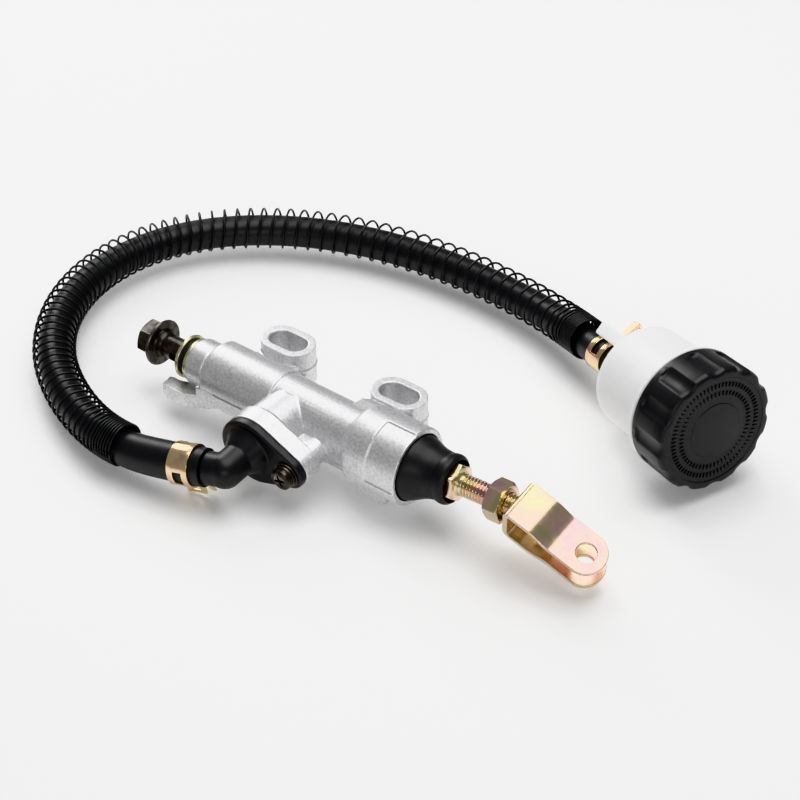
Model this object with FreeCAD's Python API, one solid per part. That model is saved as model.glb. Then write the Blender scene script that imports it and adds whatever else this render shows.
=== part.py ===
import FreeCAD, Part
import math
import os

# A rear brake master cylinder with a remote fluid reservoir, in millimetres.
# Every piece is drawn about the cylinder's own axis: X runs along the bore towards
# the clevis, +Y towards the mounting lugs, Z up. ORIGIN then moves the finished
# pieces so that the row's origin lies between the two mounting slots, on the
# lugs' lower faces.

Vec = FreeCAD.Vector

# Driving dimensions
LUG_PITCH = 50.0
LUG_REACH = 21.0
LUG_HEIGHT = 15.0
SLOT_RADIUS = 4.25
SLOT_LENGTH = 15.0
LUG_WALL = 3.15
BORE_RADIUS = 6.35
BARREL_RADIUS = 11.5
MOUTH_X = 49.5
HOUSING_RADIUS = 14.2
END_X = -48.5
STROKE = 11.0
TABLE_Z = -16.5
ORIGIN = Vec(0.0, -LUG_REACH, LUG_HEIGHT / 2)

# Bore and its stations
BORE_END_X = -30.0
STOP_FACE_X = 31.0
STOP_SOCKET_RADIUS = 8.2
STOP_HOLE_RADIUS = 5.6
BOOT_SOCKET_X = 36.0
BOOT_SOCKET_RADIUS = 12.2
CIRCLIP_X = 33.2
CIRCLIP_THICKNESS = 1.2
OUTLET_RADIUS = 5.05
OUTLET_END_X = -34.2

# Feed port: its axis leaves the cylinder's axis, slightly downwards
PORT_X = -3.3
PORT_DIP = 6.0
PORT_FLANGE_START = 16.1
PORT_FLANGE_END = 22.8
PORT_BIG_RADIUS = 12.9
PORT_BIG_X = 0.5
PORT_BIG_Z = -0.8
PORT_EAR_RADIUS = 6.3
PORT_EAR_X = 17.0
PORT_EAR_Z = -1.9
PORT_BORE_RADIUS = 5.2
FITTING_PLATE = 3.2
FITTING_STUB = 11.8
SCREW_RADIUS = 2.5

# Hose
HOSE_RADIUS = 6.0
HOSE_BORE = 3.25
CUFF_RADIUS = 6.8
GUARD_RADIUS = 8.0
GUARD_INNER = 7.12
GUARD_RISE = 1.1
CLAMP_WIDTH = 8.0
CLAMP_THICKNESS = 0.7
NOZZLE_RADIUS = 3.2

# Reservoir, lying on its cap's rim and its bottom edge, turned towards -Y
RESERVOIR_FACE = Vec(121.4, 70.3, 7.4)
RESERVOIR_TURN = -21.0
RESERVOIR_TILT = 5.2
CAP_RADIUS = 23.15
CAP_LENGTH = 16.6
BOTTLE_RADIUS = 19.0
BOTTLE_END = -46.0
BOTTLE_WALL = 2.1
NECK_FRONT = -5.1

# Pushrod, nuts and clevis
BALL_X = 26.0
BALL_RADIUS = 4.8
ROD_RADIUS = 4.0
ROD_END = 97.6
ROD_LIFT = 2.2
LIFT_AXIS = Vec(0.0, -0.722, 0.692)
CLEVIS_X = 89.6
SHEET = 2.0
CLEVIS_DROOP = 19.5
CLEVIS_ROLL = 24.5
SHOULDER = 9.7
EAR = 7.0
PIN_RADIUS = 3.5
PIN_X = 27.7
EAR_RADIUS = 7.2
FOLD_START = 10.6
FOLD_END = 16.7

# Outlet bolt, screwed part of the way in
BOLT_UNDERSIDE = -66.0
BOLT_HEAD = 7.4
BOLT_LENGTH = 20.0
BOLT_FLANGE_RADIUS = 8.7
WASHER_RADIUS = 8.1
WASHER_THICKNESS = 1.4

EPS = 0.01


def bar(radius, x0, x1, y=0.0, z=0.0):
    """A cylinder along X."""
    return Part.makeCylinder(radius, x1 - x0, Vec(x0, y, z), Vec(1, 0, 0))


def block(x0, x1, y0, y1, z0, z1):
    return Part.makeBox(x1 - x0, y1 - y0, z1 - z0, Vec(x0, y0, z0))


def turned(profile):
    """A solid of revolution about X from (x, radius) corners."""
    points = [Vec(x, 0, r) for x, r in profile]
    face = Part.Face(Part.makePolygon(points + points[:1]))
    return face.revolve(Vec(0, 0, 0), Vec(1, 0, 0), 360)


def prism(points, direction):
    """A straight extrusion of a closed flat outline."""
    return Part.Face(Part.makePolygon(points + points[:1])).extrude(direction)


def hexagon(across_flats, x0, x1, flat_up=0.0):
    """A hexagonal bar along X."""
    corner = across_flats / math.sqrt(3)
    angles = [math.radians(flat_up + 60 * i) for i in range(6)]
    points = [Vec(x0, corner * math.cos(a), corner * math.sin(a)) for a in angles]
    return prism(points, Vec(x1 - x0, 0, 0))


def chamfered_nut(across_flats, x0, x1, bore, flat_up=0.0, both=True):
    """A hexagon whose corners are turned off at one or both ends."""
    corner = across_flats / math.sqrt(3)
    waist = across_flats / 2 * 0.97
    fall = (corner - waist) * 0.6
    near = waist if both else corner
    cone = turned([(x0, 0), (x0, near), (x0 + fall, corner + EPS),
                   (x1 - fall, corner + EPS), (x1, waist), (x1, 0)])
    nut = hexagon(across_flats, x0, x1, flat_up).common(cone)
    return nut.cut(bar(bore, x0 - 1, x1 + 1)) if bore else nut


def oblong(radius, half_gap, x, y, z0, z1):
    """A round-ended block or slot along X, standing along Z."""
    ends = [Part.makeCylinder(radius, z1 - z0, Vec(x + s * half_gap, y, z0)) for s in (-1, 1)]
    middle = block(x - half_gap, x + half_gap, y - radius, y + radius, z0, z1)
    return middle.fuse(ends).removeSplitter()


def softened(shape, radius, wanted):
    """Rounds the edges that wanted() picks."""
    edges = [edge for edge in shape.Edges if wanted(edge)]
    return shape.makeFillet(radius, edges) if edges else shape


# Directions of the feed port: out of it, and up across its flange
DIP = math.radians(PORT_DIP)
PORT_OUT = Vec(0, -math.cos(DIP), -math.sin(DIP))
PORT_UP = Vec(0, -math.sin(DIP), math.cos(DIP))


def port_point(out, x=0.0, up=0.0):
    return Vec(PORT_X + x, 0, 0) + PORT_OUT * out + PORT_UP * up


def port_bar(radius, start, end, x=0.0, up=0.0):
    """A cylinder along the feed port's axis."""
    return Part.makeCylinder(radius, end - start, port_point(start, x, up), PORT_OUT)


def teardrop(start, end, grow=0.0):
    """The feed flange's outline, two circles and their tangents, as a plate."""
    big = PORT_BIG_RADIUS + grow
    small = PORT_EAR_RADIUS + grow
    across, rise = PORT_EAR_X - PORT_BIG_X, PORT_EAR_Z - PORT_BIG_Z
    heading = math.atan2(rise, across)
    lean = math.acos((big - small) / math.hypot(across, rise))
    rounds = ((big, PORT_BIG_X, PORT_BIG_Z), (small, PORT_EAR_X, PORT_EAR_Z))
    corners = []
    for side, (radius, x, up) in ((1, rounds[0]), (1, rounds[1]), (-1, rounds[1]), (-1, rounds[0])):
        angle = heading + side * lean
        corners.append(port_point(start, x + radius * math.cos(angle),
                                  up + radius * math.sin(angle)))
    wedge = prism(corners, PORT_OUT * (end - start))
    return wedge.fuse([port_bar(r, start, end, x, up) for r, x, up in rounds]).removeSplitter()


def barrel_outside():
    """The turned outside: end boss, groove, main barrel, waist and mouth housing."""
    step = 0.5
    waist = BARREL_RADIUS - 0.6
    return turned([
        (END_X, 0), (END_X, 8.1), (END_X + 0.7, 8.8), (-41.2, 8.8), (-40.8, 8.2),
        (-40.3, 8.2), (-40.1, 9.6), (-38.2, BARREL_RADIUS), (-9.3, BARREL_RADIUS),
        (-9.3 + step, waist), (24.5, waist - 0.3), (27.6, HOUSING_RADIUS - 0.4),
        (28.4, HOUSING_RADIUS), (MOUTH_X - step, HOUSING_RADIUS),
        (MOUTH_X, HOUSING_RADIUS - step), (MOUTH_X, 0)])


def lugs():
    """Two slotted mounting lugs on webs, with a parting ridge round each."""
    half_gap = SLOT_LENGTH / 2 - SLOT_RADIUS
    outer = SLOT_RADIUS + LUG_WALL
    half = LUG_HEIGHT / 2
    pieces = []
    for x in (-LUG_PITCH / 2, LUG_PITCH / 2):
        pieces.append(oblong(outer, half_gap, x, LUG_REACH, -half, half))
        pieces.append(oblong(outer + 0.35, half_gap, x, LUG_REACH, -0.5, 0.3))
        pieces.append(block(x - 8.6, x + 8.6, 4, LUG_REACH - 4, -5.6, 3.0))
        pieces.append(block(x - 10.4, x + 10.4, 9.5, LUG_REACH - 1, -5.6, -1.6))
    return pieces


def lug_slots():
    """The slots through the lugs, with a small bevel round both rims."""
    half_gap = SLOT_LENGTH / 2 - SLOT_RADIUS
    half = LUG_HEIGHT / 2
    bevel = 0.4
    wide = SLOT_RADIUS + bevel
    cuts = []
    for x in (-LUG_PITCH / 2, LUG_PITCH / 2):
        cuts.append(oblong(SLOT_RADIUS, half_gap, x, LUG_REACH, -half - 1, half + 1))
        for up in (-1, 1):
            rim = Vec(x, LUG_REACH, up * half)
            for end in (-half_gap, half_gap):
                cuts.append(Part.makeCone(wide, SLOT_RADIUS, bevel, rim + Vec(end, 0, 0),
                                          Vec(0, 0, -up)))
            cuts.append(prism([rim + Vec(-half_gap, -wide, 0), rim + Vec(-half_gap, wide, 0),
                               rim + Vec(-half_gap, SLOT_RADIUS, -up * bevel),
                               rim + Vec(-half_gap, -SLOT_RADIUS, -up * bevel)],
                              Vec(2 * half_gap, 0, 0)))
    return cuts


def gusset():
    """The flat-topped gusset between the second lug and the mouth housing."""
    outline = [Vec(18.5, 2, -5), Vec(18.5, 2, 10.2), Vec(18.5, 8.6, 9.6),
               Vec(18.5, 16.5, 4.4), Vec(18.5, 16.5, -5)]
    return prism(outline, Vec(17.0, 0, 0))


def claw():
    """The stop beside the outlet that keeps the brake line's fitting from turning."""
    top = -6.6
    outline = [Vec(-57, -6.7, top), Vec(-56.2, -12, top), Vec(-45.3, -12, top),
               Vec(-38, -7.6, top), Vec(-38, -2, top), Vec(-48.4, -2, top),
               Vec(-48.45, -5.1, top), Vec(-52.5, -6.4, top)]
    horn = prism(outline, Vec(0, 0, -5.6))
    tip = prism([Vec(-58, -20, -13), Vec(-53.6, -20, -13), Vec(-58, -20, -8.2)], Vec(0, 20, 0))
    throat = prism([Vec(-45, -11.4, top), Vec(-38, -7.6, top), Vec(-33, -6, top),
                    Vec(-33, 0, top), Vec(-45, 0, top)], Vec(0, 0, -5.0))
    return horn.cut(tip).fuse(throat)


def keel():
    """The casting's rib, its foot under the housing, and the flat flank below the barrel."""
    rib = block(-39, 30, -4.2, 4.2, -13.6, -4)
    foot = block(27.5, 41, -7.2, 5.0, TABLE_Z + 0.3, -8)
    foot = softened(foot, 2.0, lambda e: abs(e.Vertexes[0].X - e.Vertexes[-1].X) < EPS
                    and e.CenterOfMass.z > TABLE_Z + 1)
    flank = block(-40.5, PORT_X, -BARREL_RADIUS - 0.05, -4, -6.4, -1.0)
    flash = block(-32, PORT_X, -BARREL_RADIUS - 0.3, -4, -1.5, -1.0)
    return rib.fuse([foot, flank, flash])


def feed_boss():
    """The boss, flange, ear boss and nub of the feed port."""
    cone = Part.makeCone(10.6, 11.6, PORT_FLANGE_START - 4 + EPS, port_point(4, 1.0), PORT_OUT)
    ear = port_bar(4.9, 6.5, PORT_FLANGE_START + EPS, PORT_EAR_X, PORT_EAR_Z)
    nub = block(PORT_X + 11.8, PORT_X + 14.9, -PORT_FLANGE_START - 1.5, -8, -2.0, 1.4)
    return cone.fuse([ear, nub, teardrop(PORT_FLANGE_START, PORT_FLANGE_END)])


def housing_pocket():
    """A shallow L-shaped step let into the front of the mouth housing."""
    depth = 0.55
    ring = bar(HOUSING_RADIUS + 1, 37.2, MOUTH_X + 1).cut(
        bar(HOUSING_RADIUS - depth, 37, MOUTH_X + 2))
    sector = prism([Vec(37, 0, 0), Vec(37, -30, -7), Vec(37, -30, 30), Vec(37, -1, 30)],
                   Vec(20, 0, 0))
    return ring.common(sector)


def cylinder_body():
    body = barrel_outside().fuse(lugs() + [gusset(), claw(), keel(), feed_boss()])
    body = body.removeSplitter()
    spigot_end = 12.5
    cuts = lug_slots() + [
        housing_pocket(),
        bar(BORE_RADIUS, BORE_END_X, MOUTH_X + 1),
        bar(STOP_SOCKET_RADIUS, STOP_FACE_X, MOUTH_X + 1),
        bar(BOOT_SOCKET_RADIUS, BOOT_SOCKET_X, MOUTH_X + 1),
        bar(STOP_SOCKET_RADIUS + 0.9, CIRCLIP_X, CIRCLIP_X + CIRCLIP_THICKNESS + 0.1),
        turned([(END_X - 1, 0), (END_X - 1, OUTLET_RADIUS + 1.6), (END_X + 0.6, OUTLET_RADIUS),
                (OUTLET_END_X, OUTLET_RADIUS), (OUTLET_END_X + 2.2, 0)]),
        bar(1.6, OUTLET_END_X, BORE_END_X + 1),
        port_bar(PORT_BORE_RADIUS, spigot_end, PORT_FLANGE_END + 1),
        port_bar(3.9, 9.4, spigot_end + 1),
        port_bar(1.2, 3, 10, 3.0),
        port_bar(0.5, 3, 10, -3.0),
        port_bar(SCREW_RADIUS + 0.02, 9.5, PORT_FLANGE_END + 1, PORT_EAR_X, PORT_EAR_Z)]
    return body.cut(cuts)


def banjo_bolt():
    """Flanged hexagon bolt, drilled along and across for the fluid."""
    under = BOLT_UNDERSIDE
    top = under - BOLT_HEAD
    shank = OUTLET_RADIUS - 0.06
    neck = 4.45
    profile = [(top, 0), (top, 5.7), (top + 1.0, 6.95), (under - 1.3, 6.95),
               (under - 1.3, BOLT_FLANGE_RADIUS - 0.15), (under - 0.4, BOLT_FLANGE_RADIUS),
               (under, BOLT_FLANGE_RADIUS - 0.4), (under, shank), (under + 1.8, shank),
               (under + 2.6, neck), (under + 10.0, neck), (under + 10.8, shank),
               (under + BOLT_LENGTH - 0.9, shank), (under + BOLT_LENGTH, shank - 0.9),
               (under + BOLT_LENGTH, 0)]
    beyond = bar(12, top - 1, under - 1.8).cut(hexagon(12.0, top - 1, under - 1.8, 12))
    lean = math.radians(8)
    across = Vec(0, math.cos(lean), math.sin(lean))
    bores = [bar(1.7, under + 6.4, under + BOLT_LENGTH + 1),
             Part.makeCylinder(1.6, 14, Vec(under + 7.9, 0, 0) - across * 7, across)]
    return turned(profile).cut([beyond] + bores)


def ring(x, thickness, inner, outer, bevel=0.0):
    return turned([(x, inner), (x, outer - bevel), (x + bevel, outer),
                   (x + thickness - bevel, outer), (x + thickness, outer - bevel),
                   (x + thickness, inner)] if bevel else
                  [(x, inner), (x, outer), (x + thickness, outer), (x + thickness, inner)])


def sealing_washer(x):
    return ring(x, WASHER_THICKNESS, OUTLET_RADIUS + 0.05, WASHER_RADIUS, 0.25)


def retainer_ring():
    """The rubber ring that holds the two sealing washers apart on the bolt."""
    start = END_X - 2 * WASHER_THICKNESS - 0.85
    return ring(start, 1.7, OUTLET_RADIUS + 0.03, WASHER_RADIUS - 0.9, 0.3)


def piston():
    """Spool piston: front spigot, lands, cup groove and the pocket for the rod's ball."""
    land = BORE_RADIUS - 0.07
    waist = 4.6
    rear = STOP_FACE_X - 0.1
    solid = turned([(-5.6, 0), (-5.6, 2.6), (-0.5, 2.6), (-0.5, land), (1.0, land),
                    (1.0, waist), (13.0, waist), (13.0, land), (14.6, land), (14.6, 3.9),
                    (18.2, 3.9), (18.2, land), (rear - 0.6, land), (rear, land - 0.6),
                    (rear, 0)])
    pocket = Part.makeSphere(BALL_RADIUS + 0.06, Vec(BALL_X, 0, 0)).fuse(
        bar(BALL_RADIUS + 0.06, BALL_X, rear + 1))
    return solid.cut(pocket)


def cup_seal(back, length, inner):
    """A rubber cup whose lip faces -X."""
    outer = BORE_RADIUS - 0.04
    return turned([(back, inner), (back, outer - 0.5), (back - 0.5, outer - 0.3),
                   (back - length, outer), (back - length, outer - 0.9),
                   (back - length * 0.42, outer - 1.5), (back - length * 0.42, inner)])


def spring_seat():
    """Pressed washer between the return spring and the primary cup."""
    return turned([(-7.4, 0), (-7.4, 5.2), (-6.3, 5.2), (-6.3, 2.2), (-5.65, 2.2), (-5.65, 0)])


def return_spring():
    wire = 0.55
    radius = 4.7
    start = BORE_END_X + wire + 0.1
    length = (-7.4 - wire - 0.1) - start
    turns = 6.5
    path = Part.makeHelix(length / turns, length, radius)
    section = Part.Wire(Part.makeCircle(wire, Vec(radius, 0, 0), Vec(0, 1, 0)))
    coil = Part.Wire(path.Edges).makePipeShell([section], True, True)
    coil.rotate(Vec(0, 0, 0), Vec(0, 1, 0), 90)
    coil.translate(Vec(start, 0, 0))
    return coil


def stop_plate():
    """Washer that keeps the piston in, open round the rod."""
    return ring(STOP_FACE_X, CIRCLIP_X - STOP_FACE_X - 0.05, STOP_HOLE_RADIUS,
                STOP_SOCKET_RADIUS - 0.1, 0.2)


def circlip():
    """Internal circlip in its groove, with two eyed ends."""
    x0 = CIRCLIP_X + 0.02
    x1 = x0 + CIRCLIP_THICKNESS
    band = ring(x0, CIRCLIP_THICKNESS, STOP_SOCKET_RADIUS - 1.0, STOP_SOCKET_RADIUS + 0.8)
    gap = block(x0 - 1, x1 + 1, -2.4, 2.4, -12, 0)
    band = band.cut(gap)
    eyes = []
    for side in (-1, 1):
        y, z = side * 3.6, -(STOP_SOCKET_RADIUS - 1.5)
        eyes.append(bar(1.25, x0, x1, y, z).cut(bar(0.6, x0 - 1, x1 + 1, y, z)))
    return band.fuse(eyes).cut(bar(STOP_HOLE_RADIUS, x0 - 1, x1 + 1))


def leaning_stack(stations):
    """A solid through circles about X whose centres rise with the rod."""
    circles = []
    for x, radius in stations:
        t = min(1.0, max(0.0, (x - 50.0) / 10.0))
        share = t * t * (3 - 2 * t)
        turn = FreeCAD.Rotation(LIFT_AXIS, ROD_LIFT * share)
        ball = Vec(BALL_X, 0, 0)
        centre = ball + turn.multVec(Vec(x, 0, 0) - ball)
        circles.append(Part.Wire(Part.makeCircle(radius, centre, turn.multVec(Vec(1, 0, 0)))))
    return Part.makeLoft(circles, True, True)


def boot():
    """Rubber dust boot: a bead in the housing, a cone and a thick lip round the rod."""
    outer = BOOT_SOCKET_RADIUS - 0.1
    mouth = 49.0
    bead = turned([(38.6, outer - 2.6), (38.6, outer - 0.2), (41.2, outer), (47.8, outer),
                   (mouth, outer - 0.2), (mouth, outer - 1.8), (43.2, outer - 2.6)])
    skin = leaning_stack([(mouth, outer - 0.2), (52.2, 11.0), (57.0, 8.7), (60.0, 8.15),
                          (61.2, 8.6), (62.4, 8.85), (63.9, 8.7), (64.6, 8.1)])
    hollow = leaning_stack([(mouth, outer - 1.8), (53.0, 9.5), (57.0, 7.4), (65.0, 7.4)])
    return bead.fuse(skin.cut(hollow)).removeSplitter()


def lifted(shape):
    """Turns a piece on the rod up with it, about the rod's ball."""
    shape.rotate(Vec(BALL_X, 0, 0), LIFT_AXIS, ROD_LIFT)
    return shape


def pushrod():
    """Rod with a ball end, a grip hexagon inside the boot's lip and a threaded tail."""
    neck = 3.2
    tail = ROD_RADIUS - 0.12
    meet = BALL_X + math.sqrt(BALL_RADIUS ** 2 - neck ** 2)
    start = Vec(BALL_X - BALL_RADIUS, 0, 0)
    end = Vec(meet, 0, neck)
    corners = [end, Vec(BALL_X + 5.2, 0, neck), Vec(BALL_X + 6.5, 0, tail),
               Vec(ROD_END - 0.8, 0, tail), Vec(ROD_END, 0, tail - 0.8), Vec(ROD_END, 0, 0), start]
    ball = Part.Arc(start, Vec(BALL_X, 0, BALL_RADIUS), end).toShape()
    outline = Part.Wire([ball] + Part.makePolygon(corners).Edges)
    shaft = Part.Face(outline).revolve(Vec(0, 0, 0), Vec(1, 0, 0), 360)
    grip = chamfered_nut(12.0, 60.2, 67.0, 0, 20)
    collar = bar(6.9, 59.0, 60.4)
    return lifted(shaft.fuse([grip, collar]))


def lock_nut():
    return lifted(chamfered_nut(13.0, 79.5, 85.7, ROD_RADIUS - 0.06, 30 + CLEVIS_ROLL))


def joint_nut():
    """The nut inside the clevis that the rod's tail screws through."""
    start = CLEVIS_X + SHEET / 2 + 2.4
    return lifted(chamfered_nut(10.0, start, start + 3.6, ROD_RADIUS - 0.06, 30 + CLEVIS_ROLL))


def clevis_frame(shape):
    """From the clevis's own frame, base at the origin and arms along X, to its place."""
    shape.rotate(Vec(0, 0, 0), Vec(1, 0, 0), CLEVIS_ROLL)
    shape.rotate(Vec(0, 0, 0), Vec(0, 1, 0), CLEVIS_DROOP)
    shape.translate(Vec(CLEVIS_X, 0, 0))
    return lifted(shape)


def clevis_side(offset):
    """(x, z) corners of one face of the bent sheet, from an arm's tip to the base."""
    lag = 0.25 * offset
    return [(PIN_X + EAR_RADIUS + 1, EAR - offset), (FOLD_END - lag, EAR - offset),
            (FOLD_START - lag, SHOULDER - offset), (offset - SHEET / 2, SHOULDER - offset)]


def clevis():
    """Stamped sheet fork: base with a clearance hole, stepped arms with round ears."""
    half = EAR_RADIUS
    outer = clevis_side(0.0)
    inner = clevis_side(SHEET)
    outline = outer + [(x, -z) for x, z in reversed(outer)]
    outline += [(x, -z) for x, z in inner] + list(reversed(inner))
    sheet = prism([Vec(x, -half, z) for x, z in outline], Vec(0, 2 * half, 0))
    wide_bend = SHEET + 1.0
    bends = [(outer[3], wide_bend), (inner[3], 1.0), (outer[2], 9.0), (inner[2], 7.0),
             (outer[1], 9.0), (inner[1], 11.0)]
    for (x, z), radius in bends:
        sheet = softened(sheet, radius, lambda e: abs(e.CenterOfMass.x - x) < EPS
                         and abs(abs(e.CenterOfMass.z) - z) < EPS
                         and abs(e.CenterOfMass.y) < EPS)
    plan_end = Part.makeCylinder(EAR_RADIUS, 40, Vec(PIN_X, 0, -20))
    plan = block(-2, PIN_X, -half, half, -20, 20).fuse(plan_end)
    holes = [Part.makeCylinder(PIN_RADIUS, 40, Vec(PIN_X, 0, -20)), bar(4.75, -4, 4)]
    return clevis_frame(sheet.common(plan).cut(holes))


def elbow_points():
    """The elbow's bend and the unit direction of its hose arm."""
    bend = port_point(PORT_FLANGE_END + FITTING_PLATE + FITTING_STUB)
    arm = Vec(-17.4, -4.0, -2.6)
    arm.normalize()
    return bend, arm


def elbow_fitting():
    """Plastic feed elbow on the flange's outline, with a spigot and a barb."""
    bend, arm = elbow_points()
    plate_end = PORT_FLANGE_END + FITTING_PLATE
    stub_radius = 6.2
    face = port_point(plate_end - EPS)
    plate = teardrop(PORT_FLANGE_END, plate_end, -0.15)
    plate = softened(plate, 0.9, lambda e: (e.CenterOfMass - face).dot(PORT_OUT) > -0.1)
    stub = Part.makeCylinder(stub_radius, FITTING_STUB + EPS, face, PORT_OUT)
    flare = Part.makeCone(9.0, stub_radius, 5.5, face, PORT_OUT)
    ball = Part.makeSphere(stub_radius, bend)
    arm_tube = Part.makeCylinder(stub_radius - 0.3, 6.9, bend, arm)
    barb = Part.makeCylinder(NOZZLE_RADIUS, 9.6, bend + arm * 6.5, arm)
    spigot = port_bar(PORT_BORE_RADIUS - 0.08, 13.2, PORT_FLANGE_END + EPS)
    groove = port_bar(PORT_BORE_RADIUS + 1, 15.4, 17.6).cut(port_bar(3.9, 15, 18))
    solid = plate.fuse([stub, flare, ball, arm_tube, barb, spigot]).cut(groove)
    passage = port_bar(1.9, 12.5, plate_end + FITTING_STUB)
    outlet = Part.makeCylinder(1.9, 18, bend, arm)
    turn = Part.makeSphere(1.9, bend)
    seat = port_bar(SCREW_RADIUS + 0.2, 18, 30, PORT_EAR_X, PORT_EAR_Z)
    return solid.cut([passage, outlet, turn, seat])


def fitting_o_ring():
    section = 0.62
    centre = PORT_BORE_RADIUS - 0.08 - section
    return Part.makeTorus(centre, section - 0.02, port_point(16.5), PORT_OUT)


def screw_stack():
    """Stations of the screw's washers and head along the port's direction."""
    flat = PORT_FLANGE_END + FITTING_PLATE
    split = flat + 0.6
    head = split + 1.0
    return flat, split, head


def ear_ring(start, end, inner, outer):
    hole = port_bar(inner, start - 1, end + 1, PORT_EAR_X, PORT_EAR_Z)
    return port_bar(outer, start, end, PORT_EAR_X, PORT_EAR_Z).cut(hole)


def fitting_flat_washer():
    flat, split, _ = screw_stack()
    return ear_ring(flat, split, SCREW_RADIUS + 0.15, 4.9)


def fitting_spring_washer():
    _, split, head = screw_stack()
    whole = ear_ring(split, head, SCREW_RADIUS + 0.15, 4.3)
    gap = 0.5
    slit = Part.makeBox(gap, 6, 6, Vec(PORT_X + PORT_EAR_X - gap / 2, 0, 0))
    slit.translate(PORT_OUT * (split - 1) + PORT_UP * (PORT_EAR_Z - 6) + Vec(0, -4, 0))
    return whole.cut(slit)


def fitting_screw():
    """Pan-head cross-recess screw."""
    _, _, head = screw_stack()
    tall = 2.4
    x, up = PORT_EAR_X, PORT_EAR_Z
    thread = port_bar(SCREW_RADIUS, 11.0, head + EPS, x, up)
    cap = port_bar(4.0, head, head + tall, x, up)
    cap = softened(cap, 1.0, lambda e: (e.CenterOfMass - port_point(head, x, up)).dot(PORT_OUT)
                   > tall - 0.1)
    centre = port_point(head + tall, x, up)
    blades = []
    for turn in (20, 110):
        blade = Part.makeBox(4.4, 0.9, 3.2, Vec(-2.2, -0.45, -1.6))
        blade.rotate(Vec(0, 0, 0), Vec(0, 0, 1), turn)
        blade.rotate(Vec(0, 0, 0), Vec(1, 0, 0), 90 + PORT_DIP)
        blade.translate(centre)
        blades.append(blade)
    return thread.fuse(cap).cut(blades)


def reservoir_rotation():
    """Raises the reservoir's nose by its tilt, then turns it."""
    tilt = FreeCAD.Rotation(Vec(0, 1, 0), -RESERVOIR_TILT)
    return FreeCAD.Rotation(Vec(0, 0, 1), RESERVOIR_TURN).multiply(tilt)


def from_reservoir(point):
    """A point of the reservoir's own frame, origin on the cap's face and X out of it."""
    return RESERVOIR_FACE + reservoir_rotation().multVec(point)


def reservoir_frame(shape):
    shape.rotate(Vec(0, 0, 0), Vec(0, 1, 0), -RESERVOIR_TILT)
    shape.rotate(Vec(0, 0, 0), Vec(0, 0, 1), RESERVOIR_TURN)
    shape.translate(RESERVOIR_FACE)
    return shape


# Hose nozzle of the bottle, below its axis
NOZZLE_DROP = -2.6
NOZZLE_SHOULDER = -54.0
TAB_LEAN = 45.0
TAB_LOW = 2.8
TAB_THICKNESS = 5.1
TAB_BACK = 3.4
TAB_FRONT = 10.1
TAB_END = -64.0
TAB_HOLE_X = -59.6
TAB_HOLE_RADIUS = 2.2


def mounting_tab():
    """The bottle's drilled mounting tab, a thick strip leaning back."""
    tab = block(TAB_END, BOTTLE_END, TAB_LOW, TAB_LOW + TAB_THICKNESS, TAB_BACK, TAB_FRONT)
    tab = softened(tab, 0.8, lambda e: abs(e.CenterOfMass.x - TAB_END) < EPS)
    middle = (TAB_BACK + TAB_FRONT) / 2
    tab = tab.cut(Part.makeCylinder(TAB_HOLE_RADIUS, 20, Vec(TAB_HOLE_X, 0, middle), Vec(0, 1, 0)))
    tab.rotate(Vec(0, 0, 0), Vec(1, 0, 0), TAB_LEAN)
    return tab


def reservoir_bottle():
    """Open-necked round bottle with a rim under its cap."""
    r = BOTTLE_RADIUS
    rim = -CAP_LENGTH - 0.5
    outside = turned([
        (BOTTLE_END, 0), (BOTTLE_END, r - 4), (BOTTLE_END + 1.2, r - 1.3),
        (BOTTLE_END + 4, r), (rim - 2.6, r + 0.4), (rim - 1.8, CAP_RADIUS - 0.6),
        (rim, CAP_RADIUS - 0.6), (rim, r + 0.1), (NECK_FRONT, r - 0.1), (NECK_FRONT, 0)])
    inside = r - BOTTLE_WALL
    cavity = turned([(BOTTLE_END + 2.4, 0), (BOTTLE_END + 2.4, inside - 3),
                     (BOTTLE_END + 4.4, inside), (NECK_FRONT + 1, inside), (NECK_FRONT + 1, 0)])
    passage = bar(1.9, BOTTLE_END - 1, BOTTLE_END + 4, 0, NOZZLE_DROP)
    return reservoir_frame(outside.cut([cavity, passage]))


def reservoir_outlet():
    """The back of the bottle's moulding: a barbed nozzle and a drilled tab."""
    nozzle = bar(6.2, NOZZLE_SHOULDER, BOTTLE_END, 0, NOZZLE_DROP).fuse(
        bar(NOZZLE_RADIUS, NOZZLE_SHOULDER - 13, NOZZLE_SHOULDER + 1, 0, NOZZLE_DROP))
    passage = bar(1.9, NOZZLE_SHOULDER - 14, BOTTLE_END + 1, 0, NOZZLE_DROP)
    return reservoir_frame(nozzle.fuse(mounting_tab()).cut(passage))


def reservoir_cap():
    """Screw cap with a scalloped grip and a shallow ring on its face."""
    scallops = 12
    r = CAP_RADIUS
    outside = turned([(-CAP_LENGTH, 0), (-CAP_LENGTH, r - 0.3), (-1.6, r), (-0.5, r - 0.5),
                      (0, r - 1.6), (0, 0)])
    cutter = 7.0
    sink = 0.9
    flutes = []
    for i in range(scallops):
        angle = 2 * math.pi * i / scallops
        reach = r + cutter - sink
        flutes.append(bar(cutter, -CAP_LENGTH - 1, 1, reach * math.cos(angle),
                          reach * math.sin(angle)))
    skirt = bar(BOTTLE_RADIUS + 0.7, -CAP_LENGTH - 1, -2.8)
    face_ring = ring(-0.5, 1.0, 18.6, 19.4)
    return reservoir_frame(outside.cut([skirt, face_ring] + flutes))


def diaphragm_plate():
    """Stiff vented disc between the cap and the diaphragm."""
    return reservoir_frame(ring(-3.85, 0.95, 0.8, BOTTLE_RADIUS - 0.2, 0.2))


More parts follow.
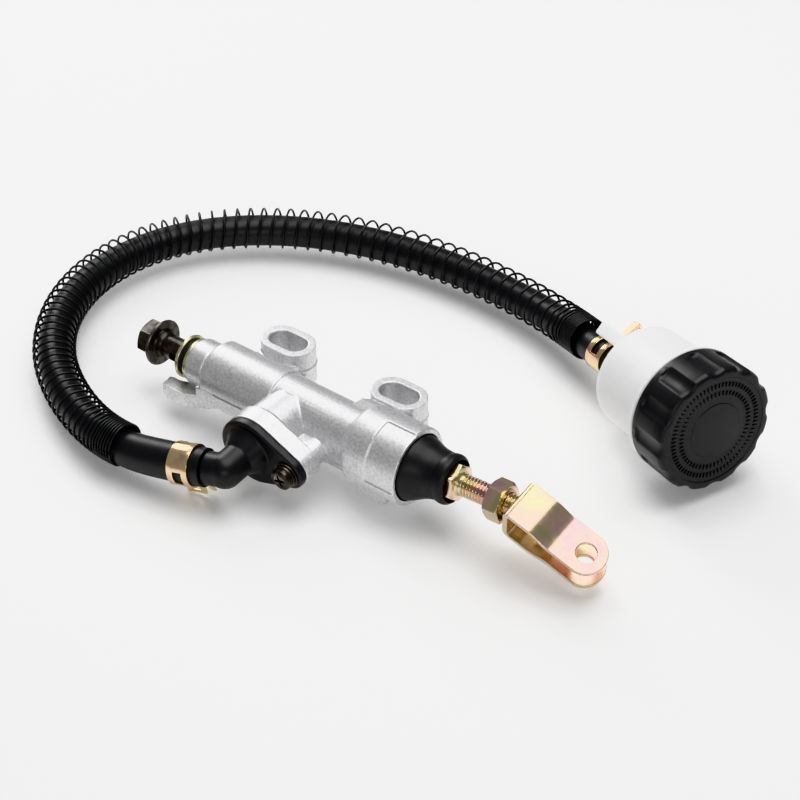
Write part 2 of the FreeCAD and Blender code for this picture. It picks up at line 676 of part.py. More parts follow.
def diaphragm():
    """Rubber bellows: a sealing rim on the neck and a folded cup inside it."""
    rim = BOTTLE_RADIUS - 0.2
    cup = BOTTLE_RADIUS - BOTTLE_WALL - 0.5
    wall = 0.8
    return reservoir_frame(turned([
        (-3.95, rim), (-5.05, rim), (-5.05, cup), (-13.5, cup - 1.0), (-13.5, cup - 4.0),
        (-8.4, cup - 5.0), (-8.4, 0), (-8.4 + wall, 0), (-8.4 + wall, cup - 4.4),
        (-12.7, cup - 3.5), (-12.7, cup - 1.7), (-3.95, cup - 1.2)]))


# The hose's route from the elbow to the bottle, resting on the table between them
HOSE_ROUTE = [
    Vec(-10.2, -39.2, -4.99), Vec(-26.0, -42.8, -7.3), Vec(-43.6, -45.5, -9.2),
    Vec(-62.9, -42.8, -9.6), Vec(-83.3, -34.3, -9.6), Vec(-101.8, -21.6, -9.6),
    Vec(-116.7, -3.4, -9.6), Vec(-125.5, 18.4, -9.6), Vec(-126.8, 41.9, -9.6),
    Vec(-119.7, 64.6, -9.6), Vec(-104.7, 83.9, -9.6), Vec(-84.1, 98.8, -9.6),
    Vec(-60.0, 108.7, -9.6), Vec(-34.7, 113.6, -9.6), Vec(-9.8, 114.6, -9.5),
    Vec(12.9, 112.3, -8.8), Vec(31.5, 107.4, -7.1), Vec(46.2, 101.1, -4.3),
    Vec(58.42, 94.48, -1.35), Vec(71.41, 89.49, -0.08)]


def rounded_path(route):
    """Straight runs and tangent arcs through a route, and the arcs' radii."""
    edges = []
    radii = []
    cursor = route[0]
    for before, corner, after in zip(route, route[1:], route[2:]):
        back = before - corner
        ahead = after - corner
        run_in, run_out = back.Length, ahead.Length
        back.normalize()
        ahead.normalize()
        half_turn = (math.pi - back.getAngle(ahead)) / 2
        cut = 0.45 * min(run_in, run_out)
        radius = cut / math.tan(half_turn)
        start = corner + back * cut
        end = corner + ahead * cut
        to_middle = back + ahead
        to_middle.normalize()
        middle = corner + to_middle * (radius / math.cos(half_turn) - radius)
        edges.append(Part.LineSegment(cursor, start).toShape())
        edges.append(Part.Arc(start, middle, end).toShape())
        radii.append(radius)
        cursor = end
    edges.append(Part.LineSegment(cursor, route[-1]).toShape())
    return edges, radii


def swept_ring(edges, outer, inner):
    """A tube along some of the path's edges."""
    start = edges[0].valueAt(edges[0].FirstParameter)
    heading = edges[0].tangentAt(edges[0].FirstParameter)
    path = Part.Wire(edges)
    tubes = []
    for radius in (outer, inner):
        section = Part.Wire(Part.makeCircle(radius, start, heading))
        tubes.append(path.makePipeShell([section], True, False))
    return tubes[0].cut(tubes[1])


def feed_hose():
    """Rubber hose whose near end swells over the elbow's barb."""
    edges, radii = rounded_path(HOSE_ROUTE)
    tube = swept_ring(edges, HOSE_RADIUS, HOSE_BORE)
    length = sum(edge.Length for edge in edges)
    print("hose arc radii, mm:", [round(r, 1) for r in radii])
    area = math.pi * (HOSE_RADIUS ** 2 - HOSE_BORE ** 2)
    print("hose length %.1f mm, volume over section times length %.5f"
          % (length, tube.Volume / (area * length)))
    near = swept_ring(edges[:2], CUFF_RADIUS, HOSE_BORE)
    return tube.fuse(near).removeSplitter()


def hose_guard():
    """The envelope of the coiled wire guard, in which the hose lies at the bottom."""
    edges, _ = rounded_path(HOSE_ROUTE)
    guard = swept_ring(edges[3:-3], GUARD_RADIUS, GUARD_INNER)
    guard.translate(Vec(0, 0, GUARD_RISE))
    return guard


def spring_clamp(inner, reach):
    """A sprung band with a window and two lifting ears, about X at the origin."""
    outer = inner + CLAMP_THICKNESS
    half = CLAMP_WIDTH / 2
    band = ring(-half, CLAMP_WIDTH, inner, outer)
    narrow = block(-1.4, 1.4, 0.6, 1.3, inner, outer + reach)
    wide = block(-half, half, -1.3, -0.6, inner, outer + reach)
    notch = block(-1.8, 1.8, -2, 0, inner + 1.6, outer + reach - 1.0)
    gap = block(-half - 1, half + 1, -0.6, 0.6, 0, outer + 1)
    window = block(-1.9, 1.9, 4.0, outer + 1, -3.2, 3.2)
    return band.cut([gap, window]).fuse([narrow, wide.cut(notch)])


def aim(shape, place, heading, roll):
    """Turns a piece built along X to a heading, and moves it there."""
    shape.rotate(Vec(0, 0, 0), Vec(1, 0, 0), roll)
    turn = FreeCAD.Rotation(Vec(1, 0, 0), heading)
    shape.rotate(Vec(0, 0, 0), turn.Axis, math.degrees(turn.Angle))
    shape.translate(place)
    return shape


def hose_clamp_lower():
    bend, arm = elbow_points()
    return aim(spring_clamp(CUFF_RADIUS + 0.15, 6.4), bend + arm * 14.8, arm, 230)


def hose_clamp_upper():
    arm = from_reservoir(Vec(-1, 0, 0)) - from_reservoir(Vec(0, 0, 0))
    place = from_reservoir(Vec(-63.6, 0, NOZZLE_DROP))
    return aim(spring_clamp(HOSE_RADIUS + 0.05, 10.0), place, arm, 33)


PIECES = {
    "cylinder_body": cylinder_body,
    "banjo_bolt": banjo_bolt,
    "sealing_washer_inner": lambda: sealing_washer(END_X - WASHER_THICKNESS - 0.02),
    "sealing_washer_outer": lambda: sealing_washer(END_X - 2 * WASHER_THICKNESS - 2.3),
    "retainer_ring": retainer_ring,
    "piston": piston,
    "primary_cup": lambda: cup_seal(-0.55, 4.4, 2.65),
    "secondary_cup": lambda: cup_seal(18.15, 3.5, 3.95),
    "spring_seat": spring_seat,
    "return_spring": return_spring,
    "stop_plate": stop_plate,
    "circlip": circlip,
    "boot": boot,
    "pushrod": pushrod,
    "lock_nut": lock_nut,
    "joint_nut": joint_nut,
    "clevis": clevis,
    "elbow_fitting": elbow_fitting,
    "fitting_o_ring": fitting_o_ring,
    "fitting_flat_washer": fitting_flat_washer,
    "fitting_spring_washer": fitting_spring_washer,
    "fitting_screw": fitting_screw,
    "feed_hose": feed_hose,
    "hose_guard": hose_guard,
    "hose_clamp_lower": hose_clamp_lower,
    "hose_clamp_upper": hose_clamp_upper,
    "reservoir_bottle": reservoir_bottle,
    "reservoir_outlet": reservoir_outlet,
    "reservoir_cap": reservoir_cap,
    "diaphragm_plate": diaphragm_plate,
    "diaphragm": diaphragm,
}

os.makedirs("parts", exist_ok=True)
for name, build in PIECES.items():
    piece = build()
    piece.translate(ORIGIN)
    print("%-24s solids %d valid %s volume %.0f" % (name, len(piece.Solids), piece.isValid(),
                                                    piece.Volume))
    piece.exportStep("parts/%s.step" % name)
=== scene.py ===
import bpy
import bmesh
import math
from mathutils import Matrix, Vector


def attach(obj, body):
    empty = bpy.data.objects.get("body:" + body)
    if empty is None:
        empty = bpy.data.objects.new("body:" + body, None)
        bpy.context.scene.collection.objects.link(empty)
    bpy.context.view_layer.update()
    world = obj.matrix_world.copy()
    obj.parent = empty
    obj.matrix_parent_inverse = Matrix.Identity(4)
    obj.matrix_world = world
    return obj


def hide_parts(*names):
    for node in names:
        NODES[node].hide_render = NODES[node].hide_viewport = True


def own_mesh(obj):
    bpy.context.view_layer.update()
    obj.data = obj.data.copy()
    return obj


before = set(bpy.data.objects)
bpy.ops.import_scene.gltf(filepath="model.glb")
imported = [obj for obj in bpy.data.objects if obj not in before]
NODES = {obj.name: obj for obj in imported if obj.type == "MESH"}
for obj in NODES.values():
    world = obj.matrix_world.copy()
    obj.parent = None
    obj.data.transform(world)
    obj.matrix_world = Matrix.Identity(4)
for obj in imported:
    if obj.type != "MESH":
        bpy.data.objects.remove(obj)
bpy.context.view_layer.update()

# Lengths are in millimetres in the cylinder's own frame: X along the bore towards the
# clevis, +Y towards the lugs, Z up. ORIGIN moves them into the row's frame.
MM = 0.001
ORIGIN = Vector((0.0, -21.0, 7.5))
# The table, which the lower clamp's ear stands on
TABLE_Z = -20.1

# The rod lies tilted about its ball, and the clevis is rolled about the rod
BALL_X = 26.0
ROD_LIFT = 2.2
LIFT_AXIS = Vector((0.0, -0.722, 0.692))
CLEVIS_ROLL = 24.5
NOZZLE_DROP = -2.6
RESERVOIR_FACE = Vector((121.4, 70.3, 7.4))
RESERVOIR_TURN = -21.0
RESERVOIR_TILT = 5.2
CAP_RADIUS = 23.15
CAP_LENGTH = 16.6
BOTTLE_RADIUS = 19.0
END_X = -48.5
BOLT_UNDERSIDE = -66.0
BOLT_HEAD = 7.4

# The elbow's bend, the way its arm leaves it, and the clamp's place on the arm
BEND = Vector((-3.3, -37.594, -3.951))
ARM = Vector((-17.4, -4.0, -2.6)).normalized()
LOWER_CLAMP_REACH = 14.8
UPPER_CLAMP_X = -63.6

# The dust boot: its inner end, the mouth it leaves and the lip that grips the rod
BOOT_INNER_X = 38.6
BOOT_MOUTH_X = 48.0
BOOT_LEAN_LENGTH = 12.0

# The pitch of the rod's and the bolt's threads
THREAD_PITCH = 1.25

# The hose's route, the same points as the CAD model's
HOSE_ROUTE = [
    (-10.2, -39.2, -4.99), (-26.0, -42.8, -7.3), (-43.6, -45.5, -9.2),
    (-62.9, -42.8, -9.6), (-83.3, -34.3, -9.6), (-101.8, -21.6, -9.6),
    (-116.7, -3.4, -9.6), (-125.5, 18.4, -9.6), (-126.8, 41.9, -9.6),
    (-119.7, 64.6, -9.6), (-104.7, 83.9, -9.6), (-84.1, 98.8, -9.6),
    (-60.0, 108.7, -9.6), (-34.7, 113.6, -9.6), (-9.8, 114.6, -9.5),
    (12.9, 112.3, -8.8), (31.5, 107.4, -7.1), (46.2, 101.1, -4.3),
    (58.42, 94.48, -1.35), (71.41, 89.49, -0.08)]
HOSE_RADIUS = 6.0
GUARD_RADIUS = 7.55
GUARD_WIRE = 0.45
GUARD_RISE = 1.1


def row(p):
    """A point of the cylinder's frame, in the row's frame and metres."""
    return (Vector(p) + ORIGIN) * MM


def lifted(p, share=1.0):
    """A point of the rod's straight form, turned about the ball to where the rod lies."""
    turn = Matrix.Rotation(math.radians(ROD_LIFT * share), 4, LIFT_AXIS.normalized())
    ball = Vector((BALL_X, 0, 0))
    return ball + turn @ (Vector(p) - ball)


RESERVOIR = (Matrix.Translation(RESERVOIR_FACE)
             @ Matrix.Rotation(math.radians(RESERVOIR_TURN), 4, "Z")
             @ Matrix.Rotation(math.radians(-RESERVOIR_TILT), 4, "Y"))


# ---------------------------------------------------------------- materials

def material(name, base, rough, metallic=0.0, tint=None, tint_scale=60.0, grain=3000.0,
             bump=0.1, depth=0.00005, rough_vary=0.08, coat=0.0, coat_rough=0.1,
             subsurface=0.0, sheen=0.0, specular=0.5, scratches=0.0, edge=None, crease_shade=None):
    """A surface with mottled colour, uneven roughness and a fine grain, and optionally a painted
    highlight on sharp edges and painted shade in creases and recesses.
    """
    mat = bpy.data.materials.new(name)
    mat.use_nodes = True
    tree = mat.node_tree
    shader = tree.nodes["Principled BSDF"]
    link = tree.links.new
    place = tree.nodes.new("ShaderNodeTexCoord").outputs["Object"]

    def noise_node(scale, detail, roughness=0.5):
        node = tree.nodes.new("ShaderNodeTexNoise")
        node.inputs["Scale"].default_value = scale
        node.inputs["Detail"].default_value = detail
        node.inputs["Roughness"].default_value = roughness
        link(place, node.inputs["Vector"])
        return node.outputs["Fac"]

    mottle = noise_node(tint_scale, 4.0)
    ramp = tree.nodes.new("ShaderNodeValToRGB")
    stops = tint or [(0.3, [c * 0.88 for c in base]), (0.7, [min(1.0, c * 1.08) for c in base])]
    while len(ramp.color_ramp.elements) < len(stops):
        ramp.color_ramp.elements.new(0.5)
    for element, (at, colour) in zip(ramp.color_ramp.elements, stops):
        element.position = at
        element.color = (*colour, 1.0)
    link(mottle, ramp.inputs["Fac"])
    colour_out = ramp.outputs["Color"]
    # Pointiness mixes in a lighter colour on sharp edges, a painted highlight, and a darker colour
    # in creases and recesses, painted shade.
    for target, low, high in ((edge, 0.53, 0.62), (crease_shade, 0.485, 0.43)):
        if not target:
            continue
        geometry = tree.nodes.new("ShaderNodeNewGeometry")
        painted_light_mask = tree.nodes.new("ShaderNodeMapRange")
        painted_light_mask.inputs["From Min"].default_value = low
        painted_light_mask.inputs["From Max"].default_value = high
        link(geometry.outputs["Pointiness"], painted_light_mask.inputs["Value"])
        mix = tree.nodes.new("ShaderNodeMix")
        mix.data_type = "RGBA"
        link(painted_light_mask.outputs["Result"], mix.inputs["Factor"])
        link(colour_out, mix.inputs["A"])
        mix.inputs["B"].default_value = (*target, 1.0)
        colour_out = mix.outputs["Result"]
    link(colour_out, shader.inputs["Base Color"])

    spread = tree.nodes.new("ShaderNodeMapRange")
    spread.inputs["To Min"].default_value = max(0.02, rough - rough_vary)
    spread.inputs["To Max"].default_value = rough + rough_vary
    link(noise_node(tint_scale * 6, 3.0), spread.inputs["Value"])
    link(spread.outputs["Result"], shader.inputs["Roughness"])

    height = noise_node(grain, 3.0, 0.6)
    if scratches:
        stretch = tree.nodes.new("ShaderNodeMapping")
        stretch.inputs["Scale"].default_value = (1.0, 14.0, 14.0)
        link(place, stretch.inputs["Vector"])
        streak = tree.nodes.new("ShaderNodeTexNoise")
        streak.inputs["Scale"].default_value = scratches
        streak.inputs["Detail"].default_value = 2.0
        link(stretch.outputs["Vector"], streak.inputs["Vector"])
        add = tree.nodes.new("ShaderNodeMath")
        link(height, add.inputs[0])
        link(streak.outputs["Fac"], add.inputs[1])
        height = add.outputs["Value"]
    bumper = tree.nodes.new("ShaderNodeBump")
    bumper.inputs["Strength"].default_value = bump
    bumper.inputs["Distance"].default_value = depth
    link(height, bumper.inputs["Height"])
    link(bumper.outputs["Normal"], shader.inputs["Normal"])

    shader.inputs["Metallic"].default_value = metallic
    shader.inputs["Specular IOR Level"].default_value = specular
    shader.inputs["Coat Weight"].default_value = coat
    shader.inputs["Coat Roughness"].default_value = coat_rough
    shader.inputs["Subsurface Weight"].default_value = subsurface
    shader.inputs["Subsurface Radius"].default_value = (1.0, 1.0, 1.0)
    shader.inputs["Subsurface Scale"].default_value = 0.003
    shader.inputs["Sheen Weight"].default_value = sheen
    return mat


MATERIALS = {
    # Cast aluminium: the near-white edge colour is a painted highlight on sharp edges, the grey
    # crease colour painted shade in recesses.
    "cast_aluminium": material(
        "cast_aluminium", (0.8, 0.8, 0.81), 0.44, 0.85, tint=[
            (0.3, (0.6, 0.6, 0.61)), (0.5, (0.73, 0.73, 0.74)), (0.7, (0.83, 0.83, 0.835))],
        tint_scale=1100, grain=1800, bump=0.4, depth=0.0001, rough_vary=0.1,
        edge=(0.96, 0.96, 0.96), crease_shade=(0.5, 0.5, 0.51)),
    "blackened_steel": material(
        "blackened_steel", (0.05, 0.048, 0.045), 0.3, 0.85, tint=[
            (0.3, (0.03, 0.029, 0.027)), (0.5, (0.065, 0.06, 0.052)), (0.62, (0.12, 0.11, 0.1)),
            (0.75, (0.07, 0.062, 0.048))],
        tint_scale=300, grain=3000, bump=0.25, edge=(0.3, 0.28, 0.25)),
    "washer_zinc": material(
        "washer_zinc", (0.62, 0.58, 0.42), 0.3, 0.95, tint=[
            (0.3, (0.5, 0.47, 0.3)), (0.55, (0.7, 0.66, 0.47)), (0.75, (0.62, 0.6, 0.5))],
        tint_scale=200, grain=2500, bump=0.12),
    "black_rubber": material(
        "black_rubber", (0.016, 0.016, 0.016), 0.55, grain=2500, bump=0.2, sheen=0.1),
    "anodised_aluminium": material(
        "anodised_aluminium", (0.6, 0.56, 0.42), 0.3, 0.9, scratches=900, bump=0.1),
    "spring_steel": material(
        "spring_steel", (0.5, 0.5, 0.5), 0.3, 1.0, scratches=600, bump=0.1),
    "boot_rubber": material(
        "boot_rubber", (0.014, 0.014, 0.015), 0.42, tint_scale=90, grain=1800, bump=0.18,
        depth=0.00008, rough_vary=0.1),
    # Yellow zinc: the pale edge colour is a painted highlight on sharp edges, the dark olive crease
    # colour painted shade in thread grooves and recesses.
    "yellow_zinc": material(
        "yellow_zinc", (0.8, 0.66, 0.44), 0.21, 1.0, tint=[
            (0.36, (0.64, 0.59, 0.36)), (0.45, (0.78, 0.63, 0.44)), (0.54, (0.82, 0.61, 0.52)),
            (0.64, (0.76, 0.54, 0.53))],
        tint_scale=85, grain=2200, bump=0.12, scratches=500, edge=(0.92, 0.8, 0.66),
        crease_shade=(0.2, 0.17, 0.07)),
    "black_plastic": material(
        "black_plastic", (0.014, 0.014, 0.015), 0.38, grain=1500, bump=0.15, depth=0.00006),
    "hose_rubber": material(
        "hose_rubber", (0.016, 0.016, 0.017), 0.4, tint_scale=50, grain=1400, bump=0.15),
    "guard_wire": material(
        "guard_wire", (0.012, 0.012, 0.012), 0.34, grain=2500, bump=0.1),
    "copper_zinc": material(
        "copper_zinc", (0.88, 0.66, 0.42), 0.2, 1.0, tint=[
            (0.35, (0.84, 0.72, 0.4)), (0.52, (0.9, 0.7, 0.45)), (0.68, (0.82, 0.5, 0.38))],
        tint_scale=150, grain=2500, bump=0.1),
    "white_plastic": material(
        "white_plastic", (0.9, 0.9, 0.9), 0.42, tint=[
            (0.3, (0.88, 0.88, 0.88)), (0.7, (0.93, 0.93, 0.93))],
        grain=900, bump=0.1, subsurface=0.6),
    "cap_plastic": material(
        "cap_plastic", (0.016, 0.016, 0.017), 0.36, grain=1200, bump=0.22, depth=0.00008,
        rough_vary=0.08),
}


# ---------------------------------------------------------------- mesh helpers

def piece(name, verts, faces, body, slot, replaced=(), sharp=35.0):
    """A mesh object from points of the cylinder's frame in millimetres."""
    mesh = bpy.data.meshes.new(name)
    mesh.from_pydata([row(v) for v in verts], [], faces)
    return finished(name, mesh, body, slot, replaced, sharp)


def finished(name, mesh, body, slot, replaced=(), sharp=35.0):
    """Gives a mesh its normals, material, slot and body."""
    tool = bmesh.new()
    tool.from_mesh(mesh)
    bmesh.ops.remove_doubles(tool, verts=tool.verts, dist=1e-7)
    bmesh.ops.recalc_face_normals(tool, faces=tool.faces)
    tool.to_mesh(mesh)
    tool.free()
    mesh.shade_smooth()
    mesh.set_sharp_from_angle(angle=math.radians(sharp))
    mesh.materials.clear()
    mesh.materials.append(MATERIALS[slot])
    ob = bpy.data.objects.new(name, mesh)
    bpy.context.scene.collection.objects.link(ob)
    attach(ob, body)
    if replaced:
        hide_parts(*replaced)
    return ob


def evaluated_mesh(ob):
    """The mesh after its modifiers, with the object removed."""
    graph = bpy.context.evaluated_depsgraph_get()
    mesh = bpy.data.meshes.new_from_object(ob.evaluated_get(graph), depsgraph=graph)
    bpy.data.objects.remove(ob)
    return mesh


def scratch_copy(*nodes):
    """A free object with the meshes of some CAD nodes."""
    mesh = bpy.data.meshes.new("scratch")
    tool = bmesh.new()
    for node in nodes:
        tool.from_mesh(NODES[node].data)
    tool.to_mesh(mesh)
    tool.free()
    ob = bpy.data.objects.new("scratch", mesh)
    bpy.context.scene.collection.objects.link(ob)
    return ob


def softened(nodes, name, body, slot, voxel, passes, sharp=60.0):
    """The shape of some CAD nodes with its edges and corners worn round."""
    ob = scratch_copy(*nodes)
    remesh = ob.modifiers.new("remesh", "REMESH")
    remesh.mode = "VOXEL"
    remesh.voxel_size = voxel * MM
    smooth = ob.modifiers.new("smooth", "SMOOTH")
    smooth.factor = 0.5
    smooth.iterations = passes
    return finished(name, evaluated_mesh(ob), body, slot, nodes, sharp)


def bevelled(node, name, body, slot, width, segments=2, sharp=30.0):
    """A CAD node's shape with its sharp edges broken."""
    ob = scratch_copy(node)
    tool = bmesh.new()
    tool.from_mesh(ob.data)
    bmesh.ops.remove_doubles(tool, verts=tool.verts, dist=2e-6)
    bmesh.ops.dissolve_limit(tool, angle_limit=math.radians(1.0), verts=tool.verts,
                             edges=tool.edges)
    tool.to_mesh(ob.data)
    tool.free()
    bevel = ob.modifiers.new("bevel", "BEVEL")
    bevel.width = width * MM
    bevel.segments = segments
    bevel.limit_method = "ANGLE"
    bevel.angle_limit = math.radians(35)
    return finished(name, evaluated_mesh(ob), body, slot, (node,), sharp)


def lathe(stations, segments=96, closed=False, place=lambda p: p):
    """Points and faces of a form about X. Each station is (x, radius or radius(angle))."""
    verts, faces = [], []
    for x, radius in stations:
        for i in range(segments):
            angle = 2 * math.pi * i / segments
            r = radius(angle) if callable(radius) else radius
            verts.append(place(Vector((x, r * math.cos(angle), r * math.sin(angle)))))
    count = len(stations)
    spans = count if closed else count - 1
    for j in range(spans):
        for i in range(segments):
            a, b = j * segments + i, j * segments + (i + 1) % segments
            ahead = ((j + 1) % count) * segments
            faces.append((a, b, ahead + (i + 1) % segments, ahead + i))
    if not closed:
        faces.append(tuple(range(segments - 1, -1, -1)))
        faces.append(tuple(range((count - 1) * segments, count * segments)))
    return verts, faces


def smooth_profile(points, steps=6):
    """A Catmull-Rom curve through (x, r) points."""
    out = []
    padded = [points[0]] + list(points) + [points[-1]]
    for a, b, c, d in zip(padded, padded[1:], padded[2:], padded[3:]):
        for i in range(steps):
            t = i / steps
            out.append(tuple(
                0.5 * (2 * q + (r - p) * t + (2 * p - 5 * q + 4 * r - s) * t * t
                       + (3 * q - p - 3 * r + s) * t ** 3)
                for p, q, r, s in zip(a, b, c, d)))
    out.append(points[-1])
    return out


def rounded_profile(points, radius, steps=4):
    """(x, r) corners, each replaced by a small arc-like curve."""
    out = [points[0]]
    for before, corner, after in zip(points, points[1:], points[2:]):
        a, b, c = Vector(before), Vector(corner), Vector(after)
        cut = min(radius, (a - b).length * 0.45, (c - b).length * 0.45)
        start = b + (a - b).normalized() * cut
        end = b + (c - b).normalized() * cut
        for i in range(steps + 1):
            t = i / steps
            out.append(tuple(start * (1 - t) ** 2 + b * 2 * t * (1 - t) + end * t * t))
    out.append(points[-1])
    return out


def thread_stations(x0, x1, major, pitch, depth):
    """Stations of a right-hand thread that runs out at both ends."""
    steps = 12
    count = int((x1 - x0) / pitch * steps)
    out = []
    for j in range(count + 1):
        x = x0 + (x1 - x0) * j / count
        fade = min(1.0, (x - x0) / (pitch * 0.8), (x1 - x) / (pitch * 0.8))

        def radius(angle, x=x, fade=fade):
            phase = (x / pitch - angle / (2 * math.pi)) % 1.0
            ridge = min(1.0, max(0.0, 1.12 - abs(phase - 0.5) * 2.8))
            return major - depth * (1 - ridge) * max(0.0, fade)
        out.append((x, radius))
    return out


def hexagon_piece(across, x0, x1, turn, bore, chamfer=(True, True)):
    """Stations of a nut or bolt head with turned-off corners, from outside to its bore."""
    flat = across / 2
    corner = flat / math.cos(math.pi / 6)

    def radius_at(limit):
        def radius(angle):
            side = flat / math.cos((angle - math.radians(turn)) % (math.pi / 3) - math.pi / 6)
            return min(side, limit) if limit else side
        return radius
    fall = (corner - flat * 0.96) * 0.55
    out = []
    steps = 5
    for i in range(steps + 1):
        t = i / steps
        limit = flat * 0.96 + (corner * 1.01 - flat * 0.96) * t
        out.append((x0 + fall * t, radius_at(limit if chamfer[0] else None)))
    for i in range(steps, -1, -1):
        t = i / steps
        limit = flat * 0.96 + (corner * 1.01 - flat * 0.96) * t
        out.append((x1 - fall * t, radius_at(limit if chamfer[1] else None)))
    if bore:
        out += [(x1, bore + 0.35), (x1 - 0.35, bore), (x0 + 0.35, bore), (x0, bore + 0.35)]
    return out


def joined(parts):
    """Several (verts, faces) lists as one."""
    verts, faces = [], []
    for some_verts, some_faces in parts:
        base = len(verts)
        verts += some_verts
        faces += [tuple(base + i for i in face) for face in some_faces]
    return verts, faces


# ---------------------------------------------------------------- body and fittings

softened(("cylinder_body",), "cast_body", "cylinder", "cast_aluminium", 0.3, 2)
softened(("elbow_fitting",), "feed_elbow", "cylinder", "black_plastic", 0.3, 8)
softened(("clevis",), "clevis_fork", "clevis", "yellow_zinc", 0.2, 2, 50)
softened(("reservoir_bottle", "reservoir_outlet"), "bottle", "cylinder", "white_plastic", 0.45, 3)


def spring_clamp(name, node, place, heading, roll, inner, reach, windows, lean, narrow):
    """A sprung band with windows, whose ends turn out as a broad and a narrow ear.

    The narrow ear is the strip `narrow` of the three across the band, and it leans
    sideways by `lean` at its tip.
    """
    thick = 0.7
    middle = inner + thick / 2
    ear = 0.95
    top = middle + reach
    start = math.asin(ear / middle)
    path = [(-ear, top), (-ear, top - 1.2), (-ear, middle + 1.5), (-ear, middle + 0.6)]
    arc = [start + (2 * math.pi - 2 * start) * i / 60 for i in range(61)]
    path += [(-middle * math.sin(a), middle * math.cos(a)) for a in arc]
    path += [(ear, middle + 0.6), (ear, top)]
    across = (-4.0, -1.7, 1.7, 4.0)
    last = len(path) - 1
    turn = Vector((1, 0, 0)).rotation_difference(heading).to_matrix() @ Matrix.Rotation(
        math.radians(roll), 3, "X")
    points = [Vector((x, y, z)) for y, z in path for x in across]
    for point, share in ((points[last * 4], 1.0), (points[last * 4 + 1], 1.0),
                         (points[last * 4 - 4], 0.1), (points[last * 4 - 3], 0.1)):
        point.x -= lean * share
    verts = [row(place + turn @ point) for point in points]
    faces = []
    for i in range(len(path) - 1):
        angle = math.degrees(arc[min(max(i - 4, 0), 60)])
        hollow = any(low < angle < high for low, high in windows)
        for k in range(3):
            notch = 0 < i < 3 and k == 1
            tongue = i >= 60 and k != narrow
            if not (notch or tongue or (hollow and k == 1 and 4 <= i < 64)):
                a = i * 4 + k
                faces.append((a, a + 1, a + 5, a + 4))
    mesh = bpy.data.meshes.new("scratch")
    mesh.from_pydata(verts, [], faces)
    ob = bpy.data.objects.new("scratch", mesh)
    bpy.context.scene.collection.objects.link(ob)
    solid = ob.modifiers.new("solid", "SOLIDIFY")
    solid.thickness = thick * MM
    solid.offset = 0.0
    bevel = ob.modifiers.new("bevel", "BEVEL")
    bevel.width = 0.18 * MM
    bevel.segments = 2
    bevel.limit_method = "ANGLE"
    bevel.angle_limit = math.radians(50)
    return finished(name, evaluated_mesh(ob), "cylinder", "copper_zinc", (node,), 40)


spring_clamp("spring_clamp_lower", "hose_clamp_lower", BEND + ARM * LOWER_CLAMP_REACH, ARM,
             230, 6.95, 6.4, ((66, 112), (215, 262)), 2.6, 0)
spring_clamp("spring_clamp_upper", "hose_clamp_upper",
             RESERVOIR @ Vector((UPPER_CLAMP_X, 0, NOZZLE_DROP)),
             (RESERVOIR.to_3x3() @ Vector((-1, 0, 0))).normalized(), 33, 6.05, 10.0,
             ((48, 112), (235, 300)), 0.0, 1)
bevelled("fitting_screw", "cross_screw", "cylinder", "blackened_steel", 0.18)
bevelled("fitting_flat_washer", "flat_washer", "cylinder", "blackened_steel", 0.12)
bevelled("fitting_spring_washer", "split_washer", "cylinder", "blackened_steel", 0.15)


def bolt():
    """The outlet bolt: flanged hexagon head, cross-drilled neck and threads."""
    under = BOLT_UNDERSIDE
    top = under - BOLT_HEAD
    shank = 4.95
    stem = [(under - 1.3, 6.0), (under - 1.3, 8.3), (under - 0.9, 8.6), (under - 0.35, 8.65),
            (under, 8.35), (under + 0.01, 5.6), (under + 0.6, 5.1), (under + 1.6, shank),
            (under + 2.3, 4.4), (under + 9.8, 4.4), (under + 10.5, 4.55)]
    stem += thread_stations(under + 10.6, under + 19.2, shank, THREAD_PITCH, 0.62)
    stem += [(under + 19.3, 4.5), (under + 20.0, 3.9), (under + 20.0, 1.7),
             (under + 6.6, 1.7)]
    mesh = bpy.data.meshes.new("stem")
    verts, faces = lathe(stem, 72)
    mesh.from_pydata([row(v) for v in verts], [], faces)
    ob = bpy.data.objects.new("scratch", mesh)
    bpy.context.scene.collection.objects.link(ob)
    cutter_mesh = bpy.data.meshes.new("drill")
    tool = bmesh.new()
    bmesh.ops.create_cone(tool, cap_ends=True, segments=32, radius1=1.6 * MM, radius2=1.6 * MM,
                          depth=14 * MM)
    bmesh.ops.rotate(tool, verts=tool.verts, matrix=Matrix.Rotation(math.radians(-82), 3, "X"))
    bmesh.ops.translate(tool, verts=tool.verts, vec=row((under + 7.9, 0, 0)))
    tool.to_mesh(cutter_mesh)
    tool.free()
    cutter = bpy.data.objects.new("drill", cutter_mesh)
    bpy.context.scene.collection.objects.link(cutter)
    cut = ob.modifiers.new("cut", "BOOLEAN")
    cut.operation = "DIFFERENCE"
    cut.object = cutter
    stem_mesh = evaluated_mesh(ob)
    bpy.data.objects.remove(cutter)
    head_verts, head_faces = lathe(hexagon_piece(12.0, top, under - 1.2, 12, 0,
                                                 chamfer=(True, False)), 96)
    base = len(stem_mesh.vertices)
    verts = [v.co.copy() for v in stem_mesh.vertices] + [row(v) for v in head_verts]
    faces = [tuple(p.vertices) for p in stem_mesh.polygons]
    faces += [tuple(base + i for i in face) for face in head_faces]
    mesh = bpy.data.meshes.new("outlet_bolt")
    mesh.from_pydata(verts, [], faces)
    return finished("outlet_bolt", mesh, "banjo_bolt", "blackened_steel", ("banjo_bolt",), 30)


bolt()


